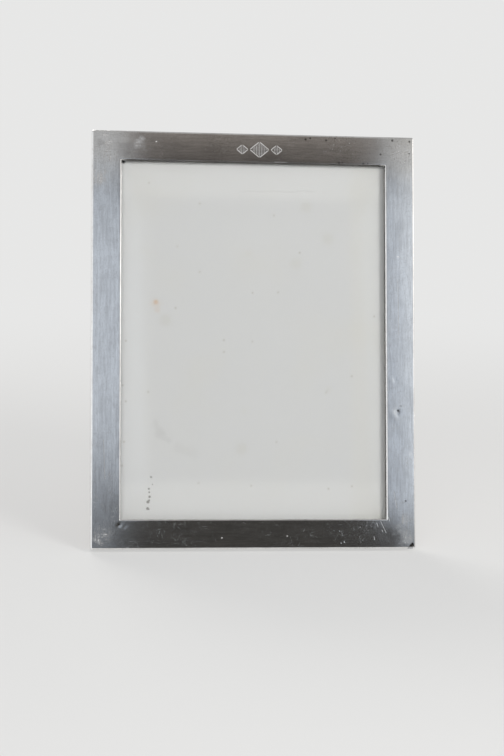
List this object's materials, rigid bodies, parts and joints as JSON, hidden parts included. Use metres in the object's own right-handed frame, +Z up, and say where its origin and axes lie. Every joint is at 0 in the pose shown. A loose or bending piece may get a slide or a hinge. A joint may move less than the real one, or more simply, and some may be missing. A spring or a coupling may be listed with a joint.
{
  "type": "picture frame",
  "caption": "Free-standing portrait picture frame with a plain flat silver front over a mitred oak core, glass, blank card, removable oak back held by turn-buttons and a hinged oak strut.",
  "frame": {"origin": "middle of the ground rectangle that the standing frame covers, at table level", "axes": "+Z up from the table, -Y towards the viewer of the picture, +X to the viewer's right; the face leans back 14 degrees from the vertical"},
  "size_m": [0.18, 0.0834, 0.225],
  "materials": {
    "silver": "polished sterling silver with fine wear",
    "oak": "satin",
    "glass": "gloss",
    "card": "matte",
    "strawboard": "matte",
    "brass": "satin",
    "steel": "satin"
  },
  "bodies": {
    "framed_picture": {"silver_front": "silver", "bottom_rail": "oak", "top_rail": "oak", "left_stile": "oak", "right_stile": "oak", "mitre_pin_bottom_left": "steel", "mitre_pin_bottom_right": "steel", "mitre_pin_top_left": "steel", "mitre_pin_top_right": "steel", "side_pin_left_1": "silver", "side_pin_left_2": "silver", "side_pin_left_3": "silver", "side_pin_right_1": "silver", "side_pin_right_2": "silver", "side_pin_right_3": "silver", "side_pin_bottom_1": "silver", "side_pin_bottom_2": "silver", "side_pin_top_1": "silver", "side_pin_top_2": "silver", "glass": "glass", "picture_card": "card", "packing_board": "strawboard", "back_panel": "oak", "turn_screw_lower_left": "brass", "turn_screw_lower_right": "brass", "turn_screw_upper_left": "brass", "turn_screw_upper_right": "brass", "hinge_fixed_leaf": "brass", "hinge_pin": "brass", "hinge_screw_fixed_left": "brass", "hinge_screw_fixed_right": "brass"},
    "strut_leg": {"strut": "oak", "hinge_strut_leaf": "brass", "hinge_screw_strut_left": "brass", "hinge_screw_strut_right": "brass"},
    "button_lower_left": {"turn_button_lower_left": "brass"},
    "button_lower_right": {"turn_button_lower_right": "brass"},
    "button_upper_left": {"turn_button_upper_left": "brass"},
    "button_upper_right": {"turn_button_upper_right": "brass"}
  },
  "joints": [
    {"name": "strut_fold", "type": "hinge", "parent": "framed_picture", "child": "strut_leg", "pos_m": [0, 0.00829, 0.1445], "axis": [1, 0, 0], "range_deg": [-25, 0]},
    {"name": "button_turn_lower_left", "type": "hinge", "parent": "framed_picture", "child": "button_lower_left", "pos_m": [-0.08225, -0.01615, 0.05475], "axis": [0, 0.9703, -0.2419], "continuous": true},
    {"name": "button_turn_lower_right", "type": "hinge", "parent": "framed_picture", "child": "button_lower_right", "pos_m": [0.08225, -0.01615, 0.05475], "axis": [0, 0.9703, -0.2419], "continuous": true},
    {"name": "button_turn_upper_left", "type": "hinge", "parent": "framed_picture", "child": "button_upper_left", "pos_m": [-0.08225, 0.01182, 0.16692], "axis": [0, 0.9703, -0.2419], "continuous": true},
    {"name": "button_turn_upper_right", "type": "hinge", "parent": "framed_picture", "child": "button_upper_right", "pos_m": [0.08225, 0.01182, 0.16692], "axis": [0, 0.9703, -0.2419], "continuous": true}
  ]
}
